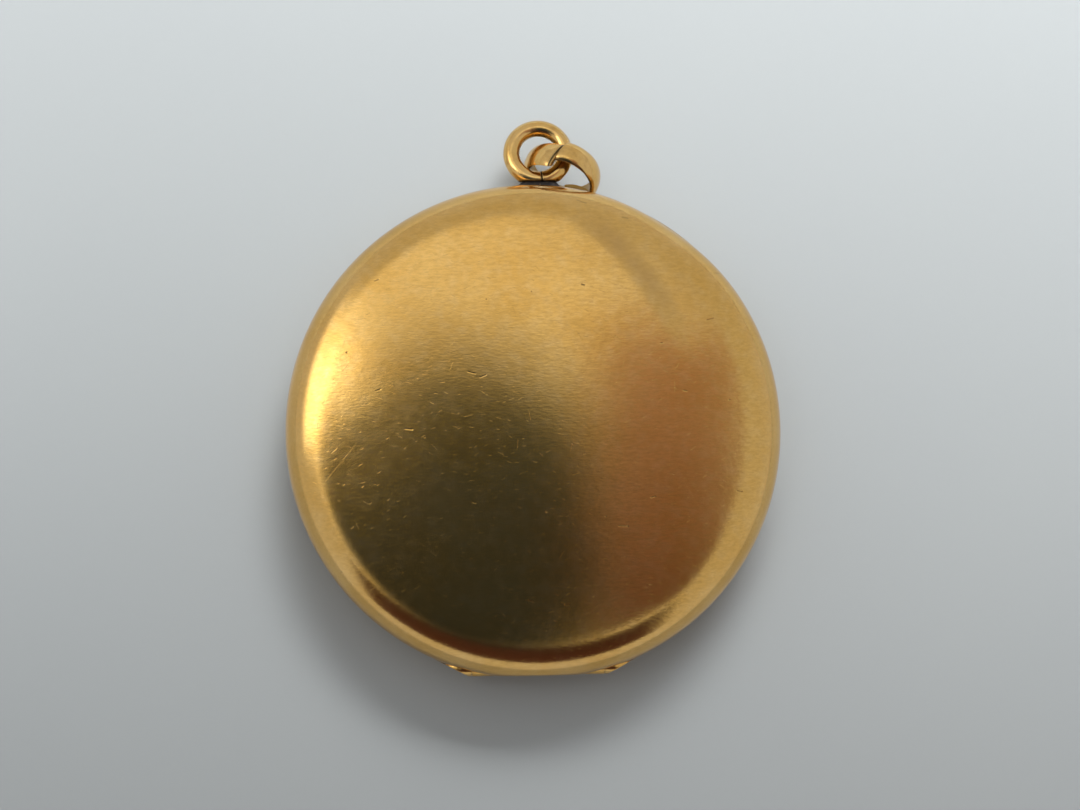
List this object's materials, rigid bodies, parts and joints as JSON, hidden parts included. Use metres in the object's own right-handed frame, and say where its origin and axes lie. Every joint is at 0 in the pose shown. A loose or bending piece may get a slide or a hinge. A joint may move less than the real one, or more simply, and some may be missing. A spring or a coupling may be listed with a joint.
{
  "type": "round picture locket",
  "caption": "Round double picture locket with a plain domed cover, a rear hinge, snap collar, two framed picture compartments, a fixed neck loop and a loose jump ring.",
  "frame": {"origin": "middle of the flat on the back cover, which the locket rests on", "axes": "+Z out of the front cover; +Y from the hinge towards the neck loop; +X along the hinge pin to the right as seen from the front"},
  "size_m": [0.0284, 0.0322, 0.0068],
  "materials": {
    "satin_gold": "satin, worn gold-filled sheet with fine scratches",
    "polished_gold": "polished, slightly worn",
    "inner_brass": "satin, dulled",
    "tarnished_solder": "dark tarnish",
    "pin_steel": "satin",
    "aged_card": "matt, aged",
    "celluloid": "clear, slightly yellowed"
  },
  "bodies": {
    "back_half": {"back_shell": "satin_gold", "back_rim_ring": "inner_brass", "back_liner_plate": "inner_brass", "back_photo_card": "aged_card", "back_window": "celluloid", "back_photo_frame": "polished_gold", "snap_collar": "polished_gold", "hinge_ear_left": "satin_gold", "hinge_ear_right": "satin_gold", "hinge_knuckle_left": "satin_gold", "hinge_knuckle_right": "satin_gold", "hinge_pin": "pin_steel", "thumb_lip": "satin_gold", "neck_saddle": "tarnished_solder", "neck_loop": "polished_gold"},
    "front_half": {"front_shell": "satin_gold", "front_rim_ring": "inner_brass", "front_liner_plate": "inner_brass", "front_photo_card": "aged_card", "front_window": "celluloid", "front_photo_frame": "polished_gold", "hinge_knuckle_middle": "satin_gold"},
    "jump_ring": {"jump_ring": "polished_gold"}
  },
  "joints": [
    {"name": "front_open", "type": "hinge", "parent": "back_half", "child": "front_half", "pos_m": [0, -0.01345, 0.0034], "axis": [1, 0, 0], "range_deg": [0, 110]},
    {"name": "ring_slide", "type": "hinge", "parent": "back_half", "child": "jump_ring", "pos_m": [0.00055, 0.0162, 0.00285], "axis": [0, 0.1736, 0.9848], "range_deg": [0, 205]}
  ]
}
